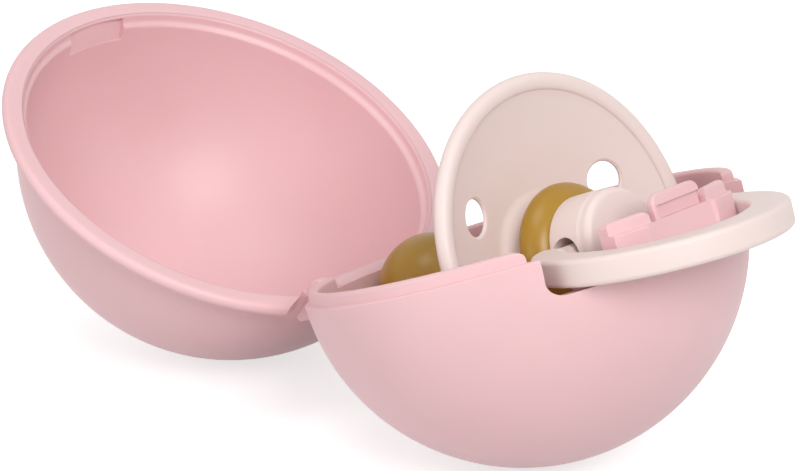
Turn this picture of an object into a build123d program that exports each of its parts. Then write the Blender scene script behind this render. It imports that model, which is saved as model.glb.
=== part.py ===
from build123d import *
import os
from math import acos, atan2, cos, degrees, radians, sin, sqrt

os.makedirs("parts", exist_ok=True)

# Pacifier sterilizer case: two round bowls hinged to each other, with a snap latch opposite the
# hinge, and the pacifier that the case holds. Millimetres.
#
# Case frame, used for modelling: the rim plane of the base is z = 0, x runs from the hinge to the
# latch, y runs across. The finished pieces are then seated as the open case lies on a table:
# both round bowls touch the ground, the lid against its opening stop.

# ---- driving dimensions -------------------------------------------------------------------------
# the pacifier comes first: the case is made round it
SHIELD_R = 22.2            # pacifier shield, round
BEAD_R = 1.35              # bead all round its rim
SHIELD_LIFT = 1.6          # shield centre over the knob's axis
DISH_R = 43.0              # concave front face
DISH_DEPTH = -4.5          # front face at the middle, from the rim plane
SHIELD_T = 1.8
VENT_R = 2.55              # three vent holes
VENT_AT = 13.8             # from half way between the shield's centre and the knob's axis
VENT_EDGE = 0.5
BOSS_RIM = 0.65            # shield's boss round the collar
KNOB_R = 6.75
KNOB_BACK = 3.6
KNOB_CREASE = 8.85
KNOB_FRONT = 11.0
CAP_STEP = 0.15            # moulded cap in front of the crease
CAP_EASE = 1.0
DOME_R = 60.0              # slight dome of the knob's front
PLUG_WALL = 1.8            # knob outside its plug
CROSS_BORE_R = 2.0         # cross bore for the ring's bar
CROSS_BORE_AT = 6.2
NECK_R = 6.5
COLLAR_RIM = 2.2           # latex collar, how far it stands out round the knob
COLLAR_SEAT = 0.0          # its seat on the boss, from the shield's rim plane
COLLAR_ROOM = 0.3
BULB_R = 7.5
BULB_AT = -26.7
LATEX_T = 1.5              # wall of the bulb
WAIST_R = 4.1
WAIST_AT = 9.1             # waist, from the middle of the bulb

RING_OUT = 17.05           # D ring
RING_WIDE = 4.8
RING_T = 3.65
RING_EASE = 1.1            # rounded edges of its section
RING_TILT = 4.1            # the ring slopes down away from the knob
BAR_R = 1.5
BAR_SPARE = 1.92           # ring's hole past the knob, each side of the bar
BAR_SAG = 0.15             # the bar hangs low in its bore

PITCH = 3.2                # how the loose pacifier lies in the case
YAW = -1.3
ROLL = -1.6
ASIDE = 0.1
LOW = -2.4                 # knob's axis at the shield, from the base's rim plane

CASE_ROOM = 5.1            # base's inner sphere, over the shield's radius
TIP_ROOM = 0.7             # base's inner sphere, past the tip of the bulb
WALL = 2.2                 # base wall
LID_WALL = 1.84
BASE_CENTRE = 0.2          # height of the base sphere's centre over the rim plane
LID_CENTRE = -0.67         # height of the lid sphere's centre when the lid is closed
LEDGE = 0.8                # outer ledge that the closed lid meets
LIP_TOP = 1.7              # lip that locates the lid
LIP_EASE = 1.1             # rounded ends of the lip
SOCKET_GAP = 0.35          # lid's socket round the lip
SOCKET_OVER = 0.2
SOCKET_MOUTH = 0.4         # chamfer at its mouth
FLANGE_REACH = 2.64        # lid's rolled flange, past the bowls
HINGE_GAP = 22.4           # half angle without a lip, at the hinge

TAB_ROOM = 0.35            # latch tab inside the ring
NOTCH_ROOM = 2.75          # notch outside the ring
RING_REST = 0.22           # ring over the bottom of the notch
NOTCH_EASE = 1.8
TAB_EASE = 0.4
THUMB_HALF = 6.5           # flat thumb recess in the tab's outside
THUMB_IN = 1.25
THUMB_LOW = -4.6
HOOK_HALF = 4.8            # hook and catch, half width
HOOK_TOP = 3.2
HOOK_EASE = 1.25           # hook's rounded top corners
BEAK_Z = 1.75              # underside of the hook's beak
BEAK_OUT = 0.45
BEAK_SIDE = 0.65
HOOK_IN = 1.55             # front face of the hook's bar, inside the bowls' outer sphere
HOOK_T = 1.1
CATCH_GAP = 0.3            # from the hook's bar to the lid's catch rib

HINGE_IN = 0.02            # hinge axis, inside the bowls' outer sphere
HINGE_Z = -0.97
BARREL_R = 2.0
BARREL_HALF = 8.1
STUB_R = 1.0
STUB_LONG = 3.0
STUB_GAP = 0.06            # stub in the barrel's bore
BARREL_GAP = 0.25          # lid round the barrel
EAR_GAP = 0.2              # ear beside the barrel
EAR_T = 1.9
EAR_R = 2.6
EAR_ROOM = 0.3
OPEN_ANGLE = 131.73        # lid opening, from closed to the stop

# ---- sizes that follow from them ------------------------------------------------------------------
plug_r = KNOB_R - PLUG_WALL
collar_r = KNOB_R + COLLAR_RIM
land_r = collar_r + COLLAR_ROOM
hollow_r = BULB_R - LATEX_T
waist_z = BULB_AT + WAIST_AT

inner_r = SHIELD_R + CASE_ROOM
bowl_r = inner_r + WALL
lid_inner_r = bowl_r - LID_WALL
lip_r = bowl_r - LEDGE
socket_r = lip_r + SOCKET_GAP
socket_top = LIP_TOP + SOCKET_OVER
flange_r = bowl_r + FLANGE_REACH
hook_face = bowl_r - HOOK_IN
rib_face = hook_face + CATCH_GAP
hinge_x = HINGE_IN - bowl_r
bore_r = STUB_R + STUB_GAP
ear_in = BARREL_HALF + EAR_GAP
ear_out = ear_in + EAR_T

# the bulb reaches back into the base, the ring hangs in the knob and passes through both notches
pacifier_x = BULB_R - BULB_AT - (inner_r - TIP_ROOM)
bore_x = pacifier_x + CROSS_BORE_AT * cos(radians(PITCH)) * cos(radians(YAW))
bore_z = LOW + CROSS_BORE_AT * sin(radians(PITCH))
ring_in = RING_OUT - RING_WIDE
bar_at = -BAR_R - sqrt(ring_in ** 2 - (KNOB_R + BAR_SPARE) ** 2)
ring_x = bore_x - bar_at * cos(radians(RING_TILT))
ring_z = bore_z - BAR_SAG + bar_at * sin(radians(RING_TILT))
crossing_x = (bowl_r ** 2 - ring_in ** 2 + ring_x ** 2) / (2 * ring_x)
tab_half = sqrt(bowl_r ** 2 - crossing_x ** 2) - TAB_ROOM
notch_far = RING_OUT + NOTCH_ROOM
notch_bottom = ring_z - (crossing_x - ring_x) * sin(radians(RING_TILT)) - RING_T / 2 - RING_REST


def sphere_r(radius, centre, z):
    """Radius of a sphere's section at height z."""
    return sqrt(radius ** 2 - (z - centre) ** 2)


def hinge_point(distance, angle):
    """Point in the xz plane at a distance and direction from the hinge axis."""
    return (hinge_x + distance * cos(radians(angle)), HINGE_Z + distance * sin(radians(angle)))


# ---- seating ------------------------------------------------------------------------------------
hinge = Location((hinge_x, 0, HINGE_Z))
open_lid = hinge * Location((0, 0, 0), (0, -OPEN_ANGLE, 0)) * hinge.inverse()
lid_middle = open_lid * Location((0, 0, LID_CENTRE))
tilt_angle = degrees(atan2(lid_middle.position.Z - BASE_CENTRE, -lid_middle.position.X))
tilt = Location((0, 0, 0), (0, -tilt_angle, 0))
base_middle = tilt * Location((0, 0, BASE_CENTRE))
stand_z = bowl_r - base_middle.position.Z

# ---- base shell ---------------------------------------------------------------------------------
rim_r = sphere_r(bowl_r, BASE_CENTRE, 0)
diag = sqrt(0.5)
corner = 1.0 - diag
front = bowl_r / 3              # from here to the front, cutters reach only the latch side

# rounded top corners of the latch tab's outer plate, outside the lip
with BuildPart() as tab_corners:
    with BuildSketch(Plane.YZ.offset(front)):
        with BuildLine():
            eased = ThreePointArc(
                (tab_half, -TAB_EASE),
                (tab_half - TAB_EASE * corner, -TAB_EASE * corner),
                (tab_half - TAB_EASE, 0),
            )
            Polyline(
                eased @ 1,
                (tab_half - TAB_EASE, 1),
                (tab_half + 1, 1),
                (tab_half + 1, -TAB_EASE),
                eased @ 0,
            )
        make_face()
        mirror(about=Plane.YZ)
    extrude(amount=bowl_r)
    Cylinder(lip_r, 10, mode=Mode.SUBTRACT)

# where the lip is broken: over the notches with rounded ends, and before the hook
gap_far = notch_far + 0.6
gap_near = tab_half - 0.8
gap_hook = HOOK_HALF + 0.6
with BuildPart() as lip_gaps:
    with BuildSketch(Plane.YZ.offset(front)):
        with BuildLine():
            gap = Polyline((tab_half, 0), (gap_far, 0), (gap_far, LIP_TOP - LIP_EASE))
            far_end = ThreePointArc(
                gap @ 1,
                (gap_far + LIP_EASE * corner, LIP_TOP - LIP_EASE * corner),
                (gap_far + LIP_EASE, LIP_TOP),
            )
            over = Polyline(
                far_end @ 1,
                (gap_far + LIP_EASE, LIP_TOP + 1),
                (gap_near, LIP_TOP + 1),
                (gap_near, LIP_TOP),
            )
            near_end = ThreePointArc(
                over @ 1,
                (tab_half - 0.8 * corner, LIP_TOP - 0.8 * corner),
                (tab_half, LIP_TOP - 0.8),
            )
            Line(near_end @ 1, gap @ 0)
        make_face()
        mirror(about=Plane.YZ)
        with BuildLine():
            right_end = ThreePointArc(
                (gap_hook, LIP_TOP - LIP_EASE),
                (gap_hook + LIP_EASE * corner, LIP_TOP - LIP_EASE * corner),
                (gap_hook + LIP_EASE, LIP_TOP),
            )
            left_end = ThreePointArc(
                (-gap_hook, LIP_TOP - LIP_EASE),
                (-gap_hook - LIP_EASE * corner, LIP_TOP - LIP_EASE * corner),
                (-gap_hook - LIP_EASE, LIP_TOP),
            )
            Polyline(
                right_end @ 1,
                (gap_hook + LIP_EASE, LIP_TOP + 1),
                (-gap_hook - LIP_EASE, LIP_TOP + 1),
                left_end @ 1,
            )
            Polyline(right_end @ 0, (gap_hook, 0), (-gap_hook, 0), left_end @ 0)
        make_face()
    extrude(amount=bowl_r)

with BuildPart() as base_bowl:
    with BuildSketch(Plane.XZ) as bowl_profile:
        with BuildLine() as bowl_outline:
            outer = ThreePointArc(
                (0, BASE_CENTRE - bowl_r),
                (bowl_r * diag, BASE_CENTRE - bowl_r * diag),
                (rim_r, 0),
            )
            inner = ThreePointArc(
                (inner_r, BASE_CENTRE),
                (inner_r * diag, BASE_CENTRE - inner_r * diag),
                (0, BASE_CENTRE - inner_r),
            )
            Polyline(
                outer @ 1,
                (lip_r, 0),
                (lip_r, LIP_TOP),
                (inner_r, LIP_TOP),
                inner @ 0,
            )
            Line(inner @ 1, outer @ 0)
        make_face()
        fillet(bowl_profile.vertices().group_by(Axis.Y)[-1], 0.6)
        chamfer(bowl_profile.vertices().sort_by(Axis.X)[-1], 0.25)
    revolve(axis=Axis.Z)

    # notches beside the latch tab: straight sides and rounded bottoms
    with BuildSketch(Plane.YZ.offset(front)) as notch_profile:
        with BuildLine() as notch_outline:
            FilletPolyline(
                (tab_half, 3),
                (tab_half, notch_bottom),
                (notch_far, notch_bottom),
                (notch_far, 3),
                radius=NOTCH_EASE,
            )
            Line((notch_far, 3), (tab_half, 3))
        make_face()
        mirror(about=Plane.YZ)
    extrude(amount=bowl_r, mode=Mode.SUBTRACT)
    add(lip_gaps.part, mode=Mode.SUBTRACT)
    add(tab_corners.part, mode=Mode.SUBTRACT)
    with BuildSketch(Plane.XY) as hinge_gap:
        with BuildLine():
            wedge_x = -2 * bowl_r * cos(radians(HINGE_GAP))
            wedge_y = 2 * bowl_r * sin(radians(HINGE_GAP))
            Polyline((0, 0), (wedge_x, -wedge_y), (wedge_x, wedge_y), close=True)
        make_face()
    extrude(amount=LIP_TOP + 1, mode=Mode.SUBTRACT)

# flat recess for the thumb in the tab's outside, open at the top
thumb_face = bowl_r - THUMB_IN
with BuildPart() as thumb_recess:
    with BuildSketch(Plane.XY.offset(THUMB_LOW)) as recess_profile:
        with Locations((thumb_face + 2.5, 0)):
            RectangleRounded(5.0, 2 * THUMB_HALF, 0.6)
    extrude(amount=1.0 - THUMB_LOW)
    fillet(thumb_recess.edges().group_by(Axis.Z)[0], 0.5)

# the latch hook inside the tab, with a beak over its front recess
hook_back = hook_face - HOOK_T
with BuildPart() as hook:
    with BuildSketch(Plane.XZ.offset(-HOOK_HALF)) as hook_profile:
        with BuildLine():
            Polyline(
                (hook_back, HOOK_TOP),
                (hook_face, HOOK_TOP),
                (hook_face, -1.6 - HOOK_T),
                (hook_back, -1.6),
                close=True,
            )
        make_face()
    extrude(amount=2 * HOOK_HALF)
    fillet(hook.edges().filter_by(Axis.X).group_by(Axis.Z)[-1], HOOK_EASE)
    fillet(hook.edges().group_by(Axis.Z)[-1], 0.35)
    with BuildSketch(Plane.XY.offset(-0.1)) as beak_recess:
        with Locations((hook_face, 0)):
            Rectangle(2 * BEAK_OUT, 2 * (HOOK_HALF - BEAK_SIDE))
    extrude(amount=BEAK_Z + 0.1, mode=Mode.SUBTRACT)

# hinge barrel with its web down the bowl
web_reach = hinge_point(BARREL_R + 1.6, 222.6)
with BuildPart() as barrel:
    with BuildSketch(Plane.XZ.offset(-BARREL_HALF)) as barrel_profile:
        with Locations((hinge_x, HINGE_Z)):
            Circle(BARREL_R)
        with BuildLine():
            Polyline(
                (hinge_x, HINGE_Z),
                web_reach,
                (web_reach[0] + 0.35, web_reach[1] - 0.9),
                (hinge_x + 2.5, HINGE_Z - 8.6),
                (hinge_x + 3.0, HINGE_Z - 1.0),
                close=True,
            )
        make_face()
    extrude(amount=2 * BARREL_HALF)

with BuildPart() as bowl_inside:
    with Locations((0, 0, BASE_CENTRE)):
        Sphere(inner_r + 0.4)

with BuildPart() as ear_room:
    with BuildSketch(Plane.XZ.offset(-ear_out - EAR_GAP)):
        with Locations((hinge_x, HINGE_Z)):
            Circle(EAR_R + EAR_ROOM)
    extrude(amount=ear_out + EAR_GAP - BARREL_HALF)
    mirror(about=Plane.XZ)

barrel_piece = barrel.part - bowl_inside.part
with BuildPart() as base_shell:
    add(base_bowl.part)
    add(thumb_recess.part, mode=Mode.SUBTRACT)
    add(ear_room.part, mode=Mode.SUBTRACT)
    add(barrel_piece)
    add(hook.part)
    with BuildSketch(Plane.XZ.offset(-BARREL_HALF - 1)) as bore_profile:
        with Locations((hinge_x, HINGE_Z)):
            Circle(bore_r)
    extrude(amount=2 * BARREL_HALF + 2, mode=Mode.SUBTRACT)

# ---- lid shell, modelled closed --------------------------------------------------------------------
lid_top = LID_CENTRE + bowl_r
with BuildPart() as lid_bowl:
    with BuildSketch(Plane.XZ):
        with BuildLine():
            outside = ThreePointArc(
                (0, lid_top),
                (bowl_r * diag, LID_CENTRE + bowl_r * diag),
                (sphere_r(bowl_r, LID_CENTRE, 0), 0),
            )
            inside = ThreePointArc(
                (0, LID_CENTRE + lid_inner_r),
                (lid_inner_r * diag, LID_CENTRE + lid_inner_r * diag),
                (sphere_r(lid_inner_r, LID_CENTRE, 0), 0),
            )
            Line(outside @ 1, inside @ 1)
            Line(outside @ 0, inside @ 0)
        make_face()
    revolve(axis=Axis.Z)

socket_back = inner_r - 2.3
with BuildPart() as socket:
    with BuildSketch(Plane.XZ):
        with BuildLine():
            Polyline(
                (socket_back, -1.0),
                (socket_r + SOCKET_MOUTH, -1.0),
                (socket_r + SOCKET_MOUTH, 0),
                (socket_r, SOCKET_MOUTH),
                (socket_r, socket_top),
                (socket_back, socket_top),
                close=True,
            )
        make_face()
    revolve(axis=Axis.Z)
    with BuildSketch(Plane.YZ.offset(-bowl_r / 2)):
        Rectangle(2 * (ear_out + 0.15), 12)
    extrude(amount=-bowl_r, mode=Mode.SUBTRACT)

flange_root = bowl_r - 0.6
with BuildPart() as flange:
    with BuildSketch(Plane.XZ):
        with BuildLine():
            low = Line((flange_root, 0), (flange_r - 0.99, 0))
            nose = ThreePointArc(low @ 1, (flange_r, 0.8), (flange_r - 0.64, 1.62))
            back = Line(nose @ 1, (bowl_r + 0.5, 1.86))
            Polyline(back @ 1, (bowl_r - 0.3, 2.15), (flange_root, 2.15), (flange_root, 0))
        make_face()
    revolve(axis=Axis.Z)
    with BuildSketch(Plane.XY.offset(-1)) as hinge_side:
        with BuildLine():
            Polyline(
                (-flange_r - 4, 0),
                (-flange_r - 4, ear_out + 6.8),
                (0.15 - bowl_r, ear_out + 6.8),
                (1.1 - bowl_r, ear_out + 4.3),
                (2.7 - bowl_r, ear_out + 0.1),
                (3.5 - bowl_r, ear_in - 0.3),
                (3.5 - bowl_r, 0),
                close=True,
            )
        make_face()
        mirror(about=Plane.XZ)
    extrude(amount=5, mode=Mode.SUBTRACT)

brace_x = 1.55
brace_z = 5.67
brace_angle = degrees(atan2(brace_z, brace_x) + acos(EAR_R / sqrt(brace_x ** 2 + brace_z ** 2)))
ear_foot = hinge_point(EAR_R, brace_angle)
with BuildPart() as ears:
    with BuildSketch(Plane.XZ.offset(-ear_out)) as ear_profile:
        with Locations((hinge_x, HINGE_Z)):
            Circle(EAR_R)
        with BuildLine():
            Polyline(
                ear_foot,
                (hinge_x + brace_x, HINGE_Z + brace_z),
                (hinge_x + 2.6, HINGE_Z + brace_z),
                (hinge_x + 2.9, HINGE_Z + 2.97),
                hinge_point(EAR_R, 20),
                (hinge_x, HINGE_Z),
                close=True,
            )
        make_face()
    extrude(amount=ear_out - ear_in)
    outer_face = ears.faces().sort_by(Axis.Y)[-1]
    fillet(outer_face.edges(), 0.4)
    with BuildSketch(Plane.XZ.offset(-ear_in)):
        with Locations((hinge_x, HINGE_Z)):
            Circle(STUB_R)
    extrude(amount=STUB_LONG)
    fillet(ears.faces().sort_by(Axis.Y)[0].edges(), 0.3)
    mirror(about=Plane.XZ)

with BuildPart() as barrel_room:
    with BuildSketch(Plane.XZ.offset(-ear_in)):
        with Locations((hinge_x, HINGE_Z)):
            Circle(BARREL_R + BARREL_GAP)
        with Locations((hinge_x - 1, HINGE_Z - 1.5)):
            Rectangle(9, 3)
    extrude(amount=2 * ear_in)

with BuildPart() as lid_inside:
    with Locations((0, 0, LID_CENTRE)):
        Sphere(lid_inner_r + 0.4)

with BuildPart() as catch_rib:
    with BuildSketch(Plane.XZ.offset(-HOOK_HALF)):
        with BuildLine():
            Polyline(
                (socket_r + 0.2, 0.45),
                (rib_face, 1.25),
                (rib_face, BEAK_Z),
                (rib_face + 0.15, socket_top + 0.15),
                (socket_r + 0.2, socket_top + 0.15),
                close=True,
            )
        make_face()
    extrude(amount=2 * HOOK_HALF)

ears_outside = ears.part - lid_inside.part
with BuildPart() as lid_shell:
    add(lid_bowl.part)
    add(flange.part)
    add(socket.part, mode=Mode.SUBTRACT)
    add(barrel_room.part, mode=Mode.SUBTRACT)
    add(ears_outside)
    with BuildSketch(Plane.XY.offset(socket_top - 0.3)) as pocket_profile:
        with Locations((hook_face + 0.45 - 1.75, 0)):
            RectangleRounded(3.5, 2 * HOOK_HALF + 0.6, 0.4)
    extrude(amount=HOOK_TOP + 0.6 - socket_top, mode=Mode.SUBTRACT)
    add(catch_rib.part)

# ---- pacifier: modelled along its own axis, the shield's rim plane at z = 0, the knob up --------------
front_land = COLLAR_SEAT
back_land = DISH_DEPTH - SHIELD_T + 0.3
boss_r = land_r + BOSS_RIM
dish_end = SHIELD_R - 1.6
dish_mid = 0.51 * dish_end

# boss round the neck opening: the collar's seat in front, the seat of the teat's bead behind
with BuildPart() as boss:
    with BuildSketch(Plane.XZ):
        with BuildLine():
            shoulder_end = (boss_r, front_land - BOSS_RIM)
            flat = Polyline((0, back_land), (0, front_land), (land_r, front_land))
            rounded = ThreePointArc(
                flat @ 1, (land_r + BOSS_RIM * diag, front_land - BOSS_RIM * corner), shoulder_end
            )
            foot = ThreePointArc(
                rounded @ 1,
                (boss_r + 0.35, (front_land + DISH_DEPTH) / 2 - 0.45),
                (boss_r + 1.0, DISH_DEPTH + 1.1),
            )
            Polyline(foot @ 1, (boss_r, back_land + 1.0), (land_r, back_land), (0, back_land))
        make_face()
    revolve(axis=Axis.Z)
    boss.part.position = (0, -SHIELD_LIFT, 0)

with BuildPart() as pacifier_shield:
    with BuildSketch(Plane.XZ):
        with BuildLine():
            face = ThreePointArc(
                (0, DISH_DEPTH),
                (dish_mid, DISH_DEPTH + DISH_R - sqrt(DISH_R ** 2 - dish_mid ** 2)),
                (dish_end, DISH_DEPTH + DISH_R - sqrt(DISH_R ** 2 - dish_end ** 2)),
            )
            rear = ThreePointArc(
                face @ 0 - (0, SHIELD_T),
                (dish_mid, DISH_DEPTH - SHIELD_T + DISH_R - sqrt(DISH_R ** 2 - dish_mid ** 2)),
                face @ 1 - (0, SHIELD_T),
            )
            Line(face @ 0, rear @ 0)
            Line(face @ 1, rear @ 1)
        make_face()
        with Locations((SHIELD_R - BEAD_R, -0.5)):
            Circle(BEAD_R)
    revolve(axis=Axis.Z)
    with BuildSketch(Plane((0, -SHIELD_LIFT / 2, -12))) as vents:
        with PolarLocations(VENT_AT, 3, start_angle=-90):
            Circle(VENT_R)
    extrude(amount=16, mode=Mode.SUBTRACT)
    vent_edges = pacifier_shield.edges().filter_by(GeomType.BSPLINE)
    fillet(vent_edges, VENT_EDGE)
    add(boss.part)
    with BuildSketch(Plane.XY.offset(-12)) as neck_opening:
        with Locations((0, -SHIELD_LIFT)):
            Circle(NECK_R + 0.05)
    extrude(amount=16, mode=Mode.SUBTRACT)

bead_r = NECK_R + 1.1           # teat's bead behind the shield
plug_end = back_land - 1.4      # end of the knob's plug
with BuildPart() as nipple:
    with BuildSketch(Plane.XZ):
        with BuildLine():
            tip = ThreePointArc(
                (0, BULB_AT - BULB_R),
                (BULB_R * diag, BULB_AT - BULB_R * diag),
                (BULB_R, BULB_AT),
            )
            shoulder = ThreePointArc(
                tip @ 1,
                (BULB_R * cos(radians(26)), BULB_AT + BULB_R * sin(radians(26))),
                (BULB_R * cos(radians(50)), BULB_AT + BULB_R * sin(radians(50))),
            )
            waist = TangentArc(shoulder @ 1, (WAIST_R, waist_z), tangent=shoulder % 1)
            taper = TangentArc(waist @ 1, (bead_r, back_land - 1.8), tangent=waist % 1)
            Polyline(
                taper @ 1,
                (bead_r, back_land),
                (NECK_R, back_land),
                (NECK_R, front_land),
                (collar_r - 0.35, front_land),
            )
            belly = ThreePointArc(
                (collar_r - 0.35, front_land),
                (collar_r - 0.08, front_land + 0.25),
                (collar_r, front_land + 0.65),
            )
            crown = ThreePointArc(
                belly @ 1,
                (collar_r - 0.65, (front_land + KNOB_BACK) / 2 + 0.65),
                (KNOB_R, KNOB_BACK),
            )
            Polyline(
                crown @ 1,
                (plug_r + 0.03, KNOB_BACK),
                (plug_r + 0.03, plug_end - 0.8),
                (WAIST_R - 1.1, (plug_end + waist_z) / 2 - 1.4),
                (WAIST_R - 1.6, waist_z),
                (hollow_r * diag, BULB_AT + hollow_r * diag),
            )
            hollow = ThreePointArc(
                (hollow_r * diag, BULB_AT + hollow_r * diag),
                (hollow_r, BULB_AT),
                (0, BULB_AT - hollow_r),
            )
            Line(hollow @ 1, tip @ 0)
        make_face()
    revolve(axis=Axis.Z)

cap_r = KNOB_R - CAP_STEP
dome_end = cap_r - CAP_EASE
dome_z = KNOB_FRONT - DOME_R + sqrt(DOME_R ** 2 - dome_end ** 2)
with BuildPart() as knob:
    with BuildSketch(Plane.XZ):
        with BuildLine():
            Polyline(
                (0, KNOB_BACK - 5.5),
                (plug_r - 1.65, KNOB_BACK - 5.5),
                (plug_r - 1.65, plug_end),
                (plug_r - 0.65, plug_end),
                (plug_r, plug_end + 0.7),
                (plug_r, KNOB_BACK),
            )
            Polyline((plug_r, KNOB_BACK), (KNOB_R, KNOB_BACK), (KNOB_R, KNOB_CREASE - 0.15))
            crease = Polyline(
                (KNOB_R, KNOB_CREASE - 0.15),
                (cap_r - 0.1, KNOB_CREASE),
                (cap_r, KNOB_CREASE + 0.1),
                (cap_r, dome_z - CAP_EASE),
            )
            dome = ThreePointArc(
                (dome_end, dome_z),
                (dome_end / 2, KNOB_FRONT - DOME_R + sqrt(DOME_R ** 2 - dome_end ** 2 / 4)),
                (0, KNOB_FRONT),
            )
            ThreePointArc(crease @ 1, (cap_r - CAP_EASE * corner, dome_z - CAP_EASE * corner), dome @ 0)
            Line(dome @ 1, (0, KNOB_BACK - 5.5))
        make_face()
    revolve(axis=Axis.Z)
    with BuildSketch(Plane.YZ.offset(-10)) as cross_bore:
        with Locations((0, CROSS_BORE_AT)):
            Circle(CROSS_BORE_R)
    extrude(amount=20, mode=Mode.SUBTRACT)

# ---- ring: a D with a straight bar, flat in its own plane ---------------------------------------------
chord_out = bar_at - BAR_R - 0.25
chord_in = bar_at + BAR_R
bar_half = KNOB_R + 0.45        # straight round bar, past the knob on each side
with BuildPart() as ring:
    with BuildSketch(Plane.XY.offset(-RING_T / 2)) as d_outline:
        Circle(RING_OUT)
        with Locations((chord_out - 10, 0)):
            Rectangle(20, 4 * RING_OUT, mode=Mode.SUBTRACT)
        fillet(d_outline.vertices(), 4.0)
    extrude(amount=RING_T)
    fillet(ring.edges().group_by(Axis.Z)[0] + ring.edges().group_by(Axis.Z)[-1], RING_EASE)
    with BuildSketch(Plane.XY.offset(-RING_T)) as d_hole:
        Circle(ring_in)
        with Locations((chord_in - 10, 0)):
            Rectangle(20, 4 * RING_OUT, mode=Mode.SUBTRACT)
        fillet(d_hole.vertices(), 1.3)
    extrude(amount=2 * RING_T, mode=Mode.SUBTRACT)
    hole_loops = ring.edges(Select.LAST).filter_by(Axis.Z, reverse=True)
    fillet(hole_loops, RING_EASE)
    with BuildSketch(Plane.XY.offset(-RING_T)):
        with Locations((bar_at, 0)):
            Rectangle(2 * BAR_R + 1.4, 2 * bar_half)
    extrude(amount=2 * RING_T, mode=Mode.SUBTRACT)
    with BuildSketch(Plane.XZ.offset(-bar_half - 1)):
        with Locations((bar_at, 0)):
            Circle(BAR_R)
    extrude(amount=2 * bar_half + 2)

# ---- seat every piece --------------------------------------------------------------------------------
along_case = Location(Plane(origin=(0, 0, 0), x_dir=(0, 1, 0), z_dir=(1, 0, 0)))
pacifier_pose = (
    Location((pacifier_x, ASIDE, LOW))
    * Location((0, 0, 0), (0, 0, YAW))
    * Location((0, 0, 0), (0, -PITCH, 0))
    * Location((0, 0, 0), (ROLL, 0, 0))
    * along_case
)
ring_pose = Location((ring_x, 0, ring_z)) * Location((0, 0, 0), (0, RING_TILT, 0))

back_end = (tilt * open_lid * lid_shell.part).bounding_box().min.X
front_end = (tilt * ring_pose * ring.part).bounding_box().max.X
case_x = -(front_end + back_end) / 2
seat = Location((case_x, 0, stand_z)) * tilt

base_shell.part.locate(seat)
lid_shell.part.locate(seat * open_lid)
pacifier_shield.part.locate(seat * pacifier_pose * Location((0, SHIELD_LIFT, 0)))
nipple.part.locate(seat * pacifier_pose)
knob.part.locate(seat * pacifier_pose)
ring.part.locate(seat * ring_pose)

base_shell.part.label = "base_shell"
lid_shell.part.label = "lid_shell"
pacifier_shield.part.label = "pacifier_shield"
nipple.part.label = "nipple"
knob.part.label = "knob"
ring.part.label = "ring"

export_step(base_shell.part, "parts/base_shell.step")
export_step(lid_shell.part, "parts/lid_shell.step")
export_step(pacifier_shield.part, "parts/pacifier_shield.step")
export_step(nipple.part, "parts/nipple.step")
export_step(knob.part, "parts/knob.step")
export_step(ring.part, "parts/ring.step")

hinge_at = (seat * hinge).position
bar = (seat * ring_pose * Location((bar_at, 0, 0))).position
normal = (seat * Location((0, 0, 1))).position - seat.position
print("tilt", round(tilt_angle, 3), "seat", seat.position)
print("hinge", hinge_at, "bar", bar, "normal", normal)
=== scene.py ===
"""Looks of the pacifier sterilizer case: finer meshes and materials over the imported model.

Shells are drawn in millimetres in the shut case's axes: the ledge is z 0, the latch is at +x and
the hinge at -x. The pacifier's pieces are drawn about its own axis, with z out of the shield,
and the ring in its own plane.
The pose given to finish_piece seats a piece in the open case and turns millimetres into metres.
"""

from math import acos, atan2, cos, degrees, pi, radians, sin, sqrt

import bmesh
import bpy
from mathutils import Matrix, Vector


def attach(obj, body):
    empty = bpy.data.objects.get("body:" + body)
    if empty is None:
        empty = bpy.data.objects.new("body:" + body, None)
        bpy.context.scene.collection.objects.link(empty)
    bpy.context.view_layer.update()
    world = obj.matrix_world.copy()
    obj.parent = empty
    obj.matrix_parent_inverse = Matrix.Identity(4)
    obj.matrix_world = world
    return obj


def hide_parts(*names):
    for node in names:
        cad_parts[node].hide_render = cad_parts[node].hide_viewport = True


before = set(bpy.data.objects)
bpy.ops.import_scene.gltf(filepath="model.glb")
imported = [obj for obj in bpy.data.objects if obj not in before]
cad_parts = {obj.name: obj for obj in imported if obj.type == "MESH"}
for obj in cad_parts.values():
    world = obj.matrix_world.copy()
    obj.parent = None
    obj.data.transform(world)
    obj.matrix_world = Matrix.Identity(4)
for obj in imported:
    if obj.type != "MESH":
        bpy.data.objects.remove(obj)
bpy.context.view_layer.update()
MM = 0.001

# ---- where things stand, in millimetres ----------------------------------------------------
TILT = radians(22.697)
SEAT = Vector((21.8068, 0, 29.3155))
HINGE = Vector((-29.48, 0, -0.97))
OPEN = radians(131.73)

to_metres = Matrix.Diagonal((MM, MM, MM, 1))
seat = Matrix.Translation(SEAT) @ Matrix.Rotation(-TILT, 4, "Y")
open_lid = (
    Matrix.Translation(HINGE) @ Matrix.Rotation(-OPEN, 4, "Y") @ Matrix.Translation(-HINGE)
)
along_case = Matrix(((0, 0, 1, 0), (1, 0, 0, 0), (0, 1, 0, 0), (0, 0, 0, 1)))
pacifier = (
    Matrix.Translation((7.6, 0.1, -2.4))
    @ Matrix.Rotation(radians(-1.3), 4, "Z")
    @ Matrix.Rotation(radians(-3.2), 4, "Y")
    @ Matrix.Rotation(radians(-1.6), 4, "X")
    @ along_case
)
ring_place = Matrix.Translation((23.9, 0, -2.93)) @ Matrix.Rotation(radians(4.1), 4, "Y")

BASE_POSE = to_metres @ seat
LID_POSE = to_metres @ seat @ open_lid
PACIFIER_POSE = to_metres @ seat @ pacifier
SHIELD_POSE = PACIFIER_POSE @ Matrix.Translation((0.25, 1.6, 0))
RING_POSE = to_metres @ seat @ ring_place


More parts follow.
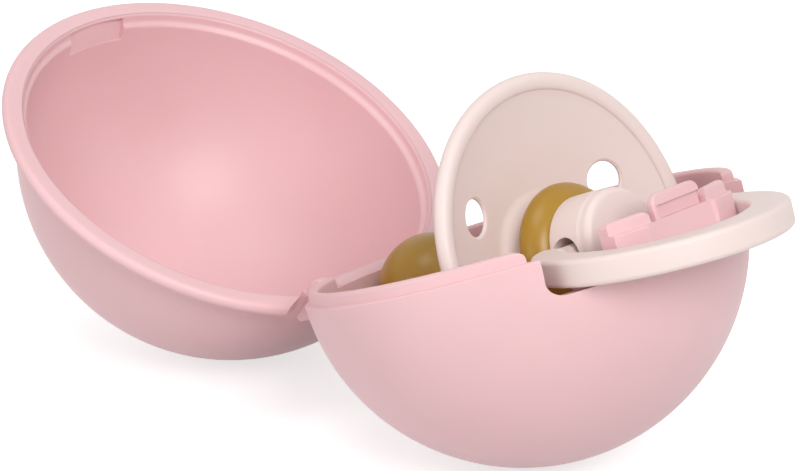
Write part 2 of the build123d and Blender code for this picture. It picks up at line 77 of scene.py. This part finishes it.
# ---- mesh helpers --------------------------------------------------------------------------
def arc(cx, cy, r, start, end, count):
    """Points on a circle, angles in degrees, both ends included."""
    step = (end - start) / count
    return [
        (cx + r * cos(radians(start + step * i)), cy + r * sin(radians(start + step * i)))
        for i in range(count + 1)
    ]


def hinge_circle(radius, count):
    """A whole circle round the hinge's axis, in the xz plane."""
    return arc(HINGE.x, HINGE.z, radius, 0, 360 - 360 / count, count - 1)


def new_object(name, bm):
    """Merges and orients a mesh under construction, and puts it in the scene."""
    bmesh.ops.remove_doubles(bm, verts=bm.verts, dist=1e-5)
    bmesh.ops.recalc_face_normals(bm, faces=bm.faces)
    mesh = bpy.data.meshes.new(name)
    bm.to_mesh(mesh)
    bm.free()
    obj = bpy.data.objects.new(name, mesh)
    bpy.context.scene.collection.objects.link(obj)
    return obj


def lathe(name, outline, steps=240, closed=False):
    """Solid of revolution about z of an outline of (r, z) points."""
    bm = bmesh.new()
    rings = []
    for r, z in outline:
        if r < 1e-4:
            rings.append([bm.verts.new((0, 0, z))])
        else:
            turns = [2 * pi * k / steps for k in range(steps)]
            rings.append([bm.verts.new((r * cos(turn), r * sin(turn), z)) for turn in turns])
    pairs = list(zip(rings, rings[1:]))
    if closed:
        pairs.append((rings[-1], rings[0]))
    for low, high in pairs:
        for k in range(steps):
            j = (k + 1) % steps
            corners = [
                low[k % len(low)],
                low[j % len(low)],
                high[j % len(high)],
                high[k % len(high)],
            ]
            face = list(dict.fromkeys(corners))
            if len(face) > 2:
                bm.faces.new(face)
    return new_object(name, bm)


def ball(centre, radius):
    """A ball on the z axis, which clears a shell's room of what reaches through its wall."""
    outline = [(0, centre - radius)] + arc(0, centre, radius, -88, 88, 80)
    return lathe("inside", outline + [(0, centre + radius)], 160)


def prism(name, outline, plane, start, end):
    """Straight prism of an outline given in a plane's own axes, between two offsets."""
    place = {
        "YZ": lambda u, v, w: (w, u, v),
        "XZ": lambda u, v, w: (u, w, v),
        "XY": lambda u, v, w: (u, v, w),
    }[plane]
    bm = bmesh.new()
    low = [bm.verts.new(place(u, v, start)) for u, v in outline]
    high = [bm.verts.new(place(u, v, end)) for u, v in outline]
    count = len(outline)
    bm.faces.new(low)
    bm.faces.new(high)
    for k in range(count):
        j = (k + 1) % count
        bm.faces.new((low[k], low[j], high[j], high[k]))
    return new_object(name, bm)


def across(name, outline, start, end):
    """Prism of an xz outline, between two y offsets."""
    return prism(name, outline, "XZ", start, end)


def soften(obj, width, segments=3, angle=30):
    """Rounds the edges of a simple mesh that are sharper than an angle."""
    bm = bmesh.new()
    bm.from_mesh(obj.data)
    edges = [
        e
        for e in bm.edges
        if len(e.link_faces) == 2 and degrees(e.calc_face_angle(0)) > angle
    ]
    bmesh.ops.bevel(
        bm,
        geom=edges,
        offset=width,
        segments=segments,
        profile=0.5,
        affect="EDGES",
        clamp_overlap=True,
    )
    bm.to_mesh(obj.data)
    bm.free()
    return obj


def boolean(target, tool, operation="DIFFERENCE"):
    """Applies one mesh to another and removes the tool."""
    modifier = target.modifiers.new("cut", "BOOLEAN")
    modifier.operation = operation
    modifier.solver = "EXACT"
    modifier.object = tool
    graph = bpy.context.evaluated_depsgraph_get()
    mesh = bpy.data.meshes.new_from_object(target.evaluated_get(graph))
    target.modifiers.clear()
    target.data = mesh
    bpy.data.objects.remove(tool)
    return target


def join(target, *others):
    """Adds other meshes to a mesh; they may run into each other as moulded features do."""
    bm = bmesh.new()
    bm.from_mesh(target.data)
    for obj in others:
        bm.from_mesh(obj.data)
        bpy.data.objects.remove(obj)
    bm.to_mesh(target.data)
    bm.free()
    return target


def mirrored(obj, name):
    """A copy on the other side of the xz plane."""
    bm = bmesh.new()
    bm.from_mesh(obj.data)
    bmesh.ops.scale(bm, vec=(1, -1, 1), verts=bm.verts)
    return new_object(name, bm)


def finish_piece(obj, pose, body, material, record_slot, *nodes, angle=32):
    """Seats a finished mesh, shades it smooth between its sharp edges, gives it its material,
    hangs it on its body and hides the imported nodes it stands in for.
    """
    obj.data.transform(pose)
    obj.data.polygons.foreach_set("use_smooth", [True] * len(obj.data.polygons))
    obj.data.set_sharp_from_angle(angle=radians(angle))
    obj.data.materials.clear()
    obj.data.materials.append(material)
    obj.data.update()
    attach(obj, body)
    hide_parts(*nodes)
    return obj


# ---- materials -----------------------------------------------------------------------------
FLOW_SCALE, GLOSS_SCALE, SKIN_SCALE = 60, 240, 4200
SKIN_DEPTH = 0.00003


def moulded(name, colour, light, roughness, sss, radius, grain, gloss_variation=0.06, ior=1.49):
    """Moulded polymer: slight variation in colour and gloss, and a fine moulded skin."""
    material = bpy.data.materials.new(name)
    material.use_nodes = True
    nodes = material.node_tree.nodes
    links = material.node_tree.links
    shader = nodes["Principled BSDF"]
    coords = nodes.new("ShaderNodeTexCoord")

    def noise(scale, detail):
        texture = nodes.new("ShaderNodeTexNoise")
        texture.inputs["Scale"].default_value = scale
        texture.inputs["Detail"].default_value = detail
        links.new(coords.outputs["Object"], texture.inputs["Vector"])
        return texture.outputs["Fac"]

    tint = nodes.new("ShaderNodeValToRGB")
    for stop, position, shade in zip(tint.color_ramp.elements, (0.3, 0.7), (colour, light)):
        stop.position = position
        stop.color = (*shade, 1)
    links.new(noise(FLOW_SCALE, 4), tint.inputs["Fac"])
    links.new(tint.outputs["Color"], shader.inputs["Base Color"])
    spread = nodes.new("ShaderNodeMapRange")
    spread.inputs["To Min"].default_value = roughness - gloss_variation
    spread.inputs["To Max"].default_value = roughness + gloss_variation
    links.new(noise(GLOSS_SCALE, 3), spread.inputs["Value"])
    links.new(spread.outputs["Result"], shader.inputs["Roughness"])
    bump = nodes.new("ShaderNodeBump")
    bump.inputs["Strength"].default_value = grain
    bump.inputs["Distance"].default_value = SKIN_DEPTH
    links.new(noise(SKIN_SCALE, 2), bump.inputs["Height"])
    links.new(bump.outputs["Normal"], shader.inputs["Normal"])
    shader.inputs["IOR"].default_value = ior
    shader.inputs["Subsurface Weight"].default_value = sss
    shader.inputs["Subsurface Radius"].default_value = (1.0, 0.5, 0.4)
    shader.inputs["Subsurface Scale"].default_value = radius
    return material


pink = moulded(
    "case_polypropylene",
    colour=(0.775, 0.492, 0.512),
    light=(0.795, 0.517, 0.537),
    roughness=0.44,
    sss=0.12,
    radius=0.0015,
    grain=0.25,
)
blush = moulded(
    "pacifier_plastic",
    colour=(0.79, 0.655, 0.62),
    light=(0.81, 0.675, 0.64),
    roughness=0.46,
    sss=0.12,
    radius=0.0015,
    grain=0.12,
)
latex = moulded(
    "latex",
    colour=(0.355, 0.195, 0.013),
    light=(0.395, 0.22, 0.019),
    roughness=0.32,
    sss=0.3,
    radius=0.003,
    grain=0.1,
    gloss_variation=0.05,
    ior=1.45,
)

# ---- sizes that both shells share ----------------------------------------------------------
BOWL_R = 29.5
SHELL_STEPS = 300
BARREL_R, BARREL_HALF, PIN_BORE_R = 2.0, 8.1, 1.06
EAR_R, EAR_FROM, EAR_TO = 2.6, 8.3, 10.2
EAR_SLOT_R, EAR_SLOT_TO = 2.9, 10.4
BARREL_SLOT_R = 2.25
STUB_R, STUB_FROM, STUB_TO = 1.0, 5.3, 8.4

# ---- base shell ----------------------------------------------------------------------------
BASE_CENTRE, BASE_INNER_R, BASE_CLEAR_R = 0.2, 27.3, 27.7
LEDGE_EDGE = 0.25
rim = sqrt(BOWL_R * BOWL_R - BASE_CENTRE * BASE_CENTRE)
below = BASE_CENTRE + LEDGE_EDGE
base_outline = arc(
    0, BASE_CENTRE, BOWL_R, -90, degrees(-atan2(below, sqrt(BOWL_R * BOWL_R - below ** 2))), 72
)
base_outline += arc(rim - LEDGE_EDGE, -LEDGE_EDGE, LEDGE_EDGE, 8, 90, 5)
base_outline += arc(28.85, 0.15, 0.15, 270, 180, 3)
base_outline += arc(28.1, 1.1, 0.6, 0, 90, 7)
base_outline += arc(27.9, 1.1, 0.6, 90, 180, 7)
base_outline += arc(0, BASE_CENTRE, BASE_INNER_R, 0, -90, 64)
base_outline[0] = (0, BASE_CENTRE - BOWL_R)
base_outline[-1] = (0, BASE_CENTRE - BASE_INNER_R)
base = lathe("base_shell_body", base_outline, SHELL_STEPS)

# The two notches beside the latch tab, and the lip's gaps over them and over the tab.
NOTCH_FROM, NOTCH_TO = 11.5, 19.8
LIP_CUT_LOW, LIP_CUT_HIGH, PAST_WALL = 0.01, 3.5, 34
notch = (
    [(NOTCH_FROM, 4), (NOTCH_FROM, -3.8)]
    + arc(12.9, -3.8, 1.4, 180, 270, 8)
    + arc(17.6, -3.0, 2.2, 270, 360, 8)
    + [(NOTCH_TO, 4)]
)
gap = (
    [(NOTCH_FROM, LIP_CUT_LOW), (20.4, LIP_CUT_LOW)]
    + arc(21.5, 0.6, 1.1, 180, 90, 6)
    + [(21.5, LIP_CUT_HIGH), (10.7, LIP_CUT_HIGH)]
    + arc(10.7, 0.9, 0.8, 90, 0, 6)
)
front_gap = (
    arc(6.5, 0.6, 1.1, 180, 90, 6)
    + [(6.5, LIP_CUT_HIGH), (-6.5, LIP_CUT_HIGH)]
    + arc(-6.5, 0.6, 1.1, 90, 0, 6)
    + [(-5.4, LIP_CUT_LOW), (5.4, LIP_CUT_LOW)]
)
for side in (1, -1):
    for outline, near in ((notch, 14), (gap, 10)):
        boolean(base, prism("tool", [(side * u, v) for u, v in outline], "YZ", near, PAST_WALL))
boolean(base, prism("tool", front_gap, "YZ", 10, PAST_WALL))

# The lip ends before the hinge, and the ears have their own slots in the ledge.
wedge = radians(22.4)
wedge_outline = [
    (0, 0),
    (-40 * cos(wedge), -40 * sin(wedge)),
    (-40 * cos(wedge), 40 * sin(wedge)),
]
boolean(base, prism("tool", wedge_outline, "XY", LIP_CUT_LOW, 3))
ear_slot = hinge_circle(EAR_SLOT_R, 60)
for side in (1, -1):
    boolean(base, across("tool", ear_slot, side * BARREL_HALF, side * EAR_SLOT_TO))

# The latch tab: a thumb recess in front, and the hook with its undercut beak.
THUMB_HALF, HOOK_FROM, HOOK_TO = 6.5, 26.85, 27.95
thumb_outline = [
    (28.25, -THUMB_HALF),
    (33, -THUMB_HALF),
    (33, THUMB_HALF),
    (28.25, THUMB_HALF),
]
boolean(base, soften(prism("thumb", thumb_outline, "XY", -4.6, 1.0), 0.6, 5))
beak = (
    [(-4.1, -4.0)]
    + arc(-2.6, 1.7, 1.5, 180, 90, 8)
    + arc(3.7, 1.9, 1.3, 90, 0, 8)
    + [(5.0, -4.0)]
)
hook = soften(prism("hook", beak, "YZ", HOOK_FROM, HOOK_TO), 0.25, 4)
boolean(hook, across("foot", [(26, -1.6), (28.2, -3.0), (28.2, -5), (26, -5)], -6, 6))
under_outline = [(27.35, -3.35), (29, -3.35), (29, 6), (27.35, 6)]
boolean(hook, prism("under", under_outline, "XY", -0.1, 1.75))

# The hinge barrel, carried by a web that runs down into the bowl's wall. The bore is cut before
# the barrel joins the bowl, so the bowl's wall fills the inner half of it again.
web_turn = radians(222.6)
web = (HINGE.x + 3.6 * cos(web_turn), HINGE.z + 3.6 * sin(web_turn))
web_outline = [
    (HINGE.x, HINGE.z),
    web,
    (web[0] + 0.35, web[1] - 0.9),
    (-27.0, -9.6),
    (-26.5, -2.0),
]
barrel = across("barrel", hinge_circle(BARREL_R, 48), -BARREL_HALF, BARREL_HALF)
boolean(barrel, across("web", web_outline, -BARREL_HALF, BARREL_HALF), "UNION")
boolean(barrel, across("bore", hinge_circle(PIN_BORE_R, 36), -9, 9))
boolean(barrel, ball(BASE_CENTRE, BASE_CLEAR_R))
boolean(base, hook, "UNION")
boolean(base, barrel, "UNION")
finish_piece(base, BASE_POSE, "base", pink, "case_pink", "base_shell")

# ---- lid shell, modelled closed ------------------------------------------------------------
LID_CENTRE, LID_INNER_R, LID_CLEAR_R = -0.67, 28.5, 28
HINGE_CUT_HALF = 10.35
low = degrees(atan2(-LID_CENTRE, sqrt(BOWL_R * BOWL_R - LID_CENTRE * LID_CENTRE)))
low_inside = degrees(atan2(-LID_CENTRE, sqrt(LID_INNER_R ** 2 - LID_CENTRE * LID_CENTRE)))
lid_outline = arc(0, LID_CENTRE, BOWL_R, 90, low, 72)
lid_outline += arc(0, LID_CENTRE, LID_INNER_R, low_inside, 90, 64)
lid_outline[0] = (0, LID_CENTRE + BOWL_R)
lid_outline[-1] = (0, LID_CENTRE + LID_INNER_R)
lid = lathe("lid_shell_body", lid_outline, SHELL_STEPS)

# The socket takes the base's lip; it stops on both sides of the hinge.
socket_outline = [(26, -1), (29.9, -1)] + arc(29.8, 0.6, 0.6, 270, 195, 8)
socket_outline += [(29.17, 0.7), (29.12, 0.95), (29.07, 1.12), (28.99, 1.27), (28.86, 1.38)]
socket_outline += [(28.62, 1.52), (28.46, 1.68), (28.36, 1.9), (28.3, 2.4), (26, 3)]
socket = lathe("socket", socket_outline, SHELL_STEPS, closed=True)
hinge_cut = [
    (-20, -HINGE_CUT_HALF),
    (-35, -HINGE_CUT_HALF),
    (-35, HINGE_CUT_HALF),
    (-20, HINGE_CUT_HALF),
]
boolean(socket, prism("tool", hinge_cut, "XY", -4, 6))
boolean(lid, socket)

# The rolled flange, cut away at the hinge.
flange_outline = (
    arc(29.8, 0.6, 0.6, 180, 270, 8)
    + [(31.1, 0)]
    + arc(31.25, 0.88, 0.89, -80, 62, 14)
    + [(30.6, 1.78), (30.1, 1.86), (29.75, 1.96), (29.5, 2.12), (29.36, 2.34), (29.3, 2.34)]
)
flange = lathe("flange", flange_outline, SHELL_STEPS, closed=True)
cut_line = [(-36, -17), (-29.35, -17), (-28.4, -14.5), (-26.8, -10.3), (-26, -8)]
cut_line += [(x, -y) for x, y in reversed(cut_line)]
boolean(flange, prism("tool", cut_line, "XY", -1, 4))
boolean(lid, across("tool", hinge_circle(BARREL_SLOT_R, 60), -EAR_FROM, EAR_FROM))
boolean(lid, flange, "UNION")

# The catch pocket that the latch's beak snaps into.
catch_outline = [(26, 0.5), (29.3, 0.5), (29.38, 0.8), (28.25, 3.65), (26, 3.65)]
boolean(lid, across("catch", catch_outline, -4.95, 5.15))

# The ears with their stub pins. An ear's round end runs on into a straight back.
EAR_BACK = (1.55, 5.67)
reach = sqrt(EAR_BACK[0] ** 2 + EAR_BACK[1] ** 2)
foot = degrees(atan2(EAR_BACK[1], EAR_BACK[0])) + degrees(acos(EAR_R / reach))
ear_outline = arc(HINGE.x, HINGE.z, EAR_R, foot, 380, 40) + [
    (HINGE.x + 2.9, 2.0),
    (HINGE.x + 2.6, 4.7),
    (HINGE.x + EAR_BACK[0], 4.7),
]
ear = soften(across("ear", ear_outline, EAR_FROM, EAR_TO), 0.35, 3, 50)
boolean(ear, ball(LID_CENTRE, LID_CLEAR_R))
stub = soften(across("stub", hinge_circle(STUB_R, 36), STUB_FROM, STUB_TO), 0.2, 3, 50)
join(ear, stub)
other = mirrored(ear, "ear_other")
join(lid, ear, other)
finish_piece(lid, LID_POSE, "lid", pink, "case_pink", "lid_shell")

# ---- pacifier: shield ----------------------------------------------------------------------
DISH_R, SHIELD_WALL, DISH_LOW = 43.0, 1.1, -4.5
NECK_R = 6.6


def dish(r):
    """Height of the shield's front at a distance from its middle."""
    return DISH_LOW + DISH_R - sqrt(DISH_R * DISH_R - r * r)


bead = [(19.7, 0.3), (19.76, 0.48), (19.92, 0.64), (20.35, 0.85), (20.85, 0.97), (21.3, 0.96)]
bead += [(21.68, 0.79), (21.97, 0.48)] + arc(20.97, -0.2, 1.14, 12, -118, 20)
front = (0, 3, 6, 9, 11, 13, 15, 16, 17, 18, 18.8, 19.6)
back = (19.9, 19, 18, 16.5, 15, 13, 11, 9, 6, 3, 0)
shield_outline = [(r, dish(r)) for r in front]
shield_outline += bead
shield_outline += [(r, dish(r) - SHIELD_WALL) for r in back]
shield = lathe("pacifier_shield_body", shield_outline, 260)

# The raised seat round the knob is given as heights above the dish, which it follows.
seat_outline = [(NECK_R, 1.85), (7.1, 1.5), (7.35, 1.15), (7.6, 0.85), (8.0, 0.45)]
seat_outline += [(8.4, 0.18), (8.9, 0.04), (9.5, -0.05), (9.5, -0.8), (NECK_R, -0.8)]
neck = lathe("neck_opening", [(0, -12), (NECK_R, -12), (NECK_R, 2), (0, 2)], 120)
boss = lathe("boss", seat_outline, 200, closed=True)
for obj in (neck, boss):
    obj.data.transform(Matrix.Translation((0, -1.6, 0)))
for vertex in boss.data.vertices:
    vertex.co.z += dish(vertex.co.xy.length)
boolean(shield, neck)
boolean(shield, boss, "UNION")

VENT_CIRCLE, VENT_TURN, VENT_ROUND = 14.05, -91.3, 0.3
for k in range(3):
    angle = radians(VENT_TURN + 120 * k)
    x, y = VENT_CIRCLE * cos(angle) - 0.2, VENT_CIRCLE * sin(angle) - 0.95
    out = sqrt(x * x + y * y)
    middle = dish(out) - SHIELD_WALL / 2
    flare = [(0, -4), (4.1, -4), (4.0, -0.8), (3.7, -0.5), (2.47, 0.12), (2.45, 0.25)]
    flare += [
        (2.75 - VENT_ROUND * cos(radians(a)), 0.25 + VENT_ROUND * sin(radians(a)))
        for a in (20, 40, 60, 75, 90)
    ]
    flare += [(3.05, 4), (0, 4)]
    hole = lathe("hole", flare, 72)
    lean = Matrix.Rotation(atan2(out, DISH_R), 4, Vector((y, -x, 0)))
    hole.data.transform(Matrix.Translation((x, y, middle)) @ lean)
    boolean(shield, hole)
finish_piece(shield, SHIELD_POSE, "pacifier", blush, "pacifier_blush", "pacifier_shield")

# ---- pacifier: teat and knob ---------------------------------------------------------------
BULB_Z, BULB_R, BULB_INNER_R = -26.7, 7.5, 6.0
KNOB_STEPS = 160
teat = arc(0, BULB_Z, BULB_R, -90, 38, 40)
teat[0] = (0, -34.2)
teat += [(5.35, -21.3), (4.75, -20.0), (4.35, -18.6), (4.2, -17.2), (4.3, -15.6)]
teat += [(4.7, -13.8), (5.35, -12.0), (6.1, -10.4), (6.9, -8.9), (7.5, -7.7), (7.6, -6.9)]
teat += [(7.6, -6.0), (6.5, -6.0)]
# The collar that shows as an amber ring round the knob.
teat += [(6.5, -2.2), (6.8, -1.98), (7.3, -1.47), (7.9, -0.85), (8.4, -0.3), (8.72, 0.14)]
teat += [(8.88, 0.45), (8.95, 0.8), (8.91, 1.2), (8.75, 1.65), (8.47, 2.2), (8.05, 2.75)]
teat += [(7.55, 3.2), (7.1, 3.46), (6.75, 3.6)]
# The room inside, which the knob's stem stops.
teat += [(4.98, 3.6), (4.98, -8.4), (3, -14), (2.5, -17.6)]
teat += arc(0, BULB_Z, BULB_INNER_R, 45, -90, 20)
teat[-1] = (0, -32.7)
nipple = lathe("nipple_body", teat, KNOB_STEPS)
finish_piece(nipple, PACIFIER_POSE, "pacifier", latex, "latex", "nipple", angle=60)

BORE_R, BORE_Z = 2.42, 6.2
plug = [(0, -1.9), (3.3, -1.9), (3.3, -7.4), (4.3, -7.4), (4.95, -6.7), (4.95, 3.6), (6.7, 3.6)]
plug += [(6.75, 3.66), (6.75, 8.55), (6.735, 8.7), (6.69, 8.85), (6.64, 9.0), (6.6, 9.2)]
plug += arc(5.6, 9.74, 1.0, 0, 84, 10)
plug += [(5.0, 10.79), (3.5, 10.9), (1.7, 10.98), (0, 11.0)]
knob = lathe("knob_body", plug, KNOB_STEPS)
bore_outline = [(0, -9), (BORE_R, -9), (BORE_R, -6.75), (2.3, -6.5), (2.25, -6.2)]
bore_outline += [(r, -z) for r, z in reversed(bore_outline)]
bore = lathe("cross_bore", bore_outline, 64)
bore.data.transform(Matrix.Translation((0, 0, BORE_Z)) @ Matrix.Rotation(pi / 2, 4, "Y"))
boolean(knob, bore)
finish_piece(knob, PACIFIER_POSE, "pacifier", blush, "pacifier_blush", "knob")

# ---- ring ----------------------------------------------------------------------------------
BAR_X, MID, FILLET = -10.15, 14.65, 3.0
BAR_R, BAR_STEPS = 1.5, 40
turn_y = sqrt((MID - FILLET) ** 2 - (BAR_X + FILLET) ** 2)
turn_at = degrees(atan2(turn_y, BAR_X + FILLET))
path = arc(0, 0, MID, -turn_at, turn_at, 150)
path += arc(BAR_X + FILLET, turn_y, FILLET, turn_at, 180, 12)[1:]
path += [(BAR_X, turn_y - 2 * turn_y * k / BAR_STEPS) for k in range(1, BAR_STEPS)]
path += arc(BAR_X + FILLET, -turn_y, FILLET, 180, 360 - turn_at, 12)[:-1]


def ring_section(x, y):
    """Half width, half thickness and corner radius of the ring's section on its path."""
    if x > BAR_X + 0.6:
        full = min(1.0, (x - BAR_X - 0.6) / 2.4)
        full = 0.75 + 0.25 * full * full * (3 - 2 * full)
    else:
        full = max(0.0, min(1.0, (abs(y) - 7.1) / 2.2))
        full = 0.75 * full * full * (3 - 2 * full)
    return BAR_R + 0.9 * full, BAR_R + 0.325 * full, BAR_R - 0.8 * full


bm = bmesh.new()
loops = []
for i, (x, y) in enumerate(path):
    ax, ay = path[i - 1]
    bx, by = path[(i + 1) % len(path)]
    along = Vector((bx - ax, by - ay, 0)).normalized()
    out = Vector((along.y, -along.x, 0))
    half, thick, round_r = ring_section(x, y)
    # The ring grows broader inwards towards its round end.
    wide = 0.45 * max(0.0, min(1.0, (x - 2.0) / 11.0)) ** 2
    half += wide
    section = []
    for qx, qz, a0 in ((1, 1, 0), (-1, 1, 90), (-1, -1, 180), (1, -1, 270)):
        corner = (qx * (half - round_r), qz * (thick - round_r))
        section += arc(*corner, round_r, a0, a0 + 90, 7)
    at = Vector((x, y, 0))
    loops.append([bm.verts.new(at + out * (u - wide) + Vector((0, 0, w))) for u, w in section])
for i, loop in enumerate(loops):
    follow = loops[(i + 1) % len(loops)]
    for k in range(len(loop)):
        j = (k + 1) % len(loop)
        bm.faces.new((loop[k], loop[j], follow[j], follow[k]))
ring = new_object("ring_body", bm)
finish_piece(ring, RING_POSE, "pull_ring", blush, "pacifier_blush", "ring")


# ---- floor and background ------------------------------------------------------------------
def seen_directly(nodes, links):
    """A value that is 1 for rays from the camera, off a gloss or through glass, and else 0."""
    rays = nodes.new("ShaderNodeLightPath")
    value = rays.outputs["Is Camera Ray"]
    for kind in ("Is Glossy Ray", "Is Transmission Ray"):
        either = nodes.new("ShaderNodeMath")
        either.operation = "MAXIMUM"
        links.new(value, either.inputs[0])
        links.new(rays.outputs[kind], either.inputs[1])
        value = either.outputs[0]
    return value


FLOOR_GREY, FLOOR_LIFT = 0.62, 0.66
floor_bm = bmesh.new()
bmesh.ops.create_grid(floor_bm, x_segments=1, y_segments=1, size=3.0)
floor = new_object("floor", floor_bm)
floor_material = bpy.data.materials.new("floor_white")
floor_material.use_nodes = True
nodes = floor_material.node_tree.nodes
links = floor_material.node_tree.links
shader = nodes["Principled BSDF"]
shader.inputs["Base Color"].default_value = (FLOOR_GREY, FLOOR_GREY, FLOOR_GREY, 1)
shader.inputs["Roughness"].default_value = 0.7
shader.inputs["Emission Color"].default_value = (1, 1, 1, 1)
lift = nodes.new("ShaderNodeMath")
lift.operation = "MULTIPLY"
lift.inputs[1].default_value = FLOOR_LIFT
links.new(seen_directly(nodes, links), lift.inputs[0])
links.new(lift.outputs[0], shader.inputs["Emission Strength"])
floor.data.materials.append(floor_material)

world = bpy.data.worlds.new("studio")
bpy.context.scene.world = world
world.use_nodes = True
nodes = world.node_tree.nodes
links = world.node_tree.links
soft = nodes["Background"]
soft.inputs["Color"].default_value = (1.0, 0.985, 0.985, 1)
soft.inputs["Strength"].default_value = 0.5
white = nodes.new("ShaderNodeBackground")
white.inputs["Color"].default_value = (1, 1, 1, 1)
white.inputs["Strength"].default_value = 1.0
mix = nodes.new("ShaderNodeMixShader")
links.new(seen_directly(nodes, links), mix.inputs[0])
links.new(soft.outputs[0], mix.inputs[1])
links.new(white.outputs[0], mix.inputs[2])
links.new(mix.outputs[0], nodes["World Output"].inputs["Surface"])


# ---- lamps and camera ----------------------------------------------------------------------
def lamp(name, at, size, power, colour=(1, 1, 1)):
    """A round area lamp that points at the case; metres and watts."""
    data = bpy.data.lights.new(name, "AREA")
    data.shape = "DISK"
    data.size = size
    data.energy = power
    data.color = colour
    obj = bpy.data.objects.new(name, data)
    bpy.context.scene.collection.objects.link(obj)
    obj.location = at
    aim = Vector((0, 0, 0.02)) - Vector(at)
    obj.rotation_euler = aim.to_track_quat("-Z", "Y").to_euler()


lamp("key", at=(0.85, -0.4, 0.75), size=0.6, power=7.7, colour=(0.98, 1.0, 1.0))
lamp("fill", at=(-0.1, -1.0, 0.18), size=0.8, power=2.7, colour=(1.0, 0.955, 0.965))
lamp("top", at=(-0.1, -0.25, 1.0), size=0.5, power=1.7)

# The camera that was fitted to the photo, given in the base's own axes.
SENSOR_MM, PHOTO_WIDTH, FOCAL_PIXELS = 36, 800, 4421.8
CAMERA_AT = Vector((405.306, -404.665, 52.599))
camera_data = bpy.data.cameras.new("camera")
camera_data.sensor_width = SENSOR_MM
camera_data.lens = SENSOR_MM * FOCAL_PIXELS / PHOTO_WIDTH
camera_data.clip_start = 0.01
camera = bpy.data.objects.new("camera", camera_data)
bpy.context.scene.collection.objects.link(camera)
right = Vector((0.676768, 0.680783, -0.280214)).normalized()
forward = Vector((-0.723516, 0.685387, -0.082269))
forward = (forward - forward.dot(right) * right).normalized()
up = right.cross(forward)
turn = seat.to_3x3()
look = Matrix([turn @ right, turn @ up, -(turn @ forward)]).transposed().to_4x4()
camera.matrix_world = Matrix.Translation(seat @ CAMERA_AT * MM) @ look
bpy.context.scene.camera = camera
bpy.context.scene.view_settings.view_transform = "Standard"
